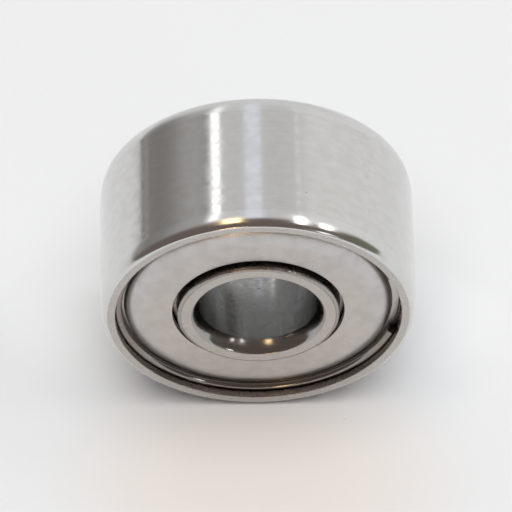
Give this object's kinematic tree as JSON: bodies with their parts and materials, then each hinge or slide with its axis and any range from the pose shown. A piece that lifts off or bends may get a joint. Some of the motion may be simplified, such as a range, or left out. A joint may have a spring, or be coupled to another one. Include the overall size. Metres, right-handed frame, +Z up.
{
  "type": "shielded ball bearing",
  "caption": "Miniature deep-groove ball bearing with a sheet-metal shield and a wire snap ring on each side.",
  "frame": {"origin": "the centre of the bearing: on its axis, midway between its two side faces", "axes": "Y is the bearing's axis, with the front face at -Y; +Z is up, with the bearing standing on its rim; +X is to the right seen from the front, where the snap rings open"},
  "size_m": [0.008, 0.004, 0.008],
  "materials": {
    "ring_steel": "polished",
    "shield_sheet": "satin",
    "spring_wire": "gloss",
    "cage_strip": "satin",
    "ball_steel": "polished"
  },
  "bodies": {
    "housing_side": {"outer_ring": "ring_steel", "shield_front": "shield_sheet", "shield_rear": "shield_sheet", "snap_ring_front": "spring_wire", "snap_ring_rear": "spring_wire"},
    "shaft_side": {"inner_ring": "ring_steel"},
    "cage": {"cage_front": "cage_strip", "cage_rear": "cage_strip"},
    "ball_body_1": {"ball_1": "ball_steel"},
    "ball_body_2": {"ball_2": "ball_steel"},
    "ball_body_3": {"ball_3": "ball_steel"},
    "ball_body_4": {"ball_4": "ball_steel"},
    "ball_body_5": {"ball_5": "ball_steel"},
    "ball_body_6": {"ball_6": "ball_steel"},
    "ball_body_7": {"ball_7": "ball_steel"}
  },
  "joints": [
    {"name": "inner_ring_spin", "type": "hinge", "parent": "housing_side", "child": "shaft_side", "pos_m": [0, 0, 0], "axis": [0, 1, 0], "continuous": true},
    {"name": "cage_orbit", "type": "hinge", "parent": "housing_side", "child": "cage", "pos_m": [0, 0, 0], "axis": [0, 1, 0], "continuous": true},
    {"name": "ball_1_spin", "type": "hinge", "parent": "cage", "child": "ball_body_1", "pos_m": [0, 0, 0.0027], "axis": [0, 1, 0], "continuous": true},
    {"name": "ball_2_spin", "type": "hinge", "parent": "cage", "child": "ball_body_2", "pos_m": [-0.00211, 0, 0.00168], "axis": [0, 1, 0], "continuous": true},
    {"name": "ball_3_spin", "type": "hinge", "parent": "cage", "child": "ball_body_3", "pos_m": [-0.00263, 0, -0.0006], "axis": [0, 1, 0], "continuous": true},
    {"name": "ball_4_spin", "type": "hinge", "parent": "cage", "child": "ball_body_4", "pos_m": [-0.00117, 0, -0.00243], "axis": [0, 1, 0], "continuous": true},
    {"name": "ball_5_spin", "type": "hinge", "parent": "cage", "child": "ball_body_5", "pos_m": [0.00117, 0, -0.00243], "axis": [0, 1, 0], "continuous": true},
    {"name": "ball_6_spin", "type": "hinge", "parent": "cage", "child": "ball_body_6", "pos_m": [0.00263, 0, -0.0006], "axis": [0, 1, 0], "continuous": true},
    {"name": "ball_7_spin", "type": "hinge", "parent": "cage", "child": "ball_body_7", "pos_m": [0.00211, 0, 0.00168], "axis": [0, 1, 0], "continuous": true}
  ],
  "couplings": [
    {"joint": "cage_orbit", "follows": "inner_ring_spin", "ratio": 0.36111},
    {"joint": "ball_1_spin", "follows": "inner_ring_spin", "ratio": -1.6611},
    {"joint": "ball_2_spin", "follows": "inner_ring_spin", "ratio": -1.6611},
    {"joint": "ball_3_spin", "follows": "inner_ring_spin", "ratio": -1.6611},
    {"joint": "ball_4_spin", "follows": "inner_ring_spin", "ratio": -1.6611},
    {"joint": "ball_5_spin", "follows": "inner_ring_spin", "ratio": -1.6611},
    {"joint": "ball_6_spin", "follows": "inner_ring_spin", "ratio": -1.6611},
    {"joint": "ball_7_spin", "follows": "inner_ring_spin", "ratio": -1.6611}
  ]
}
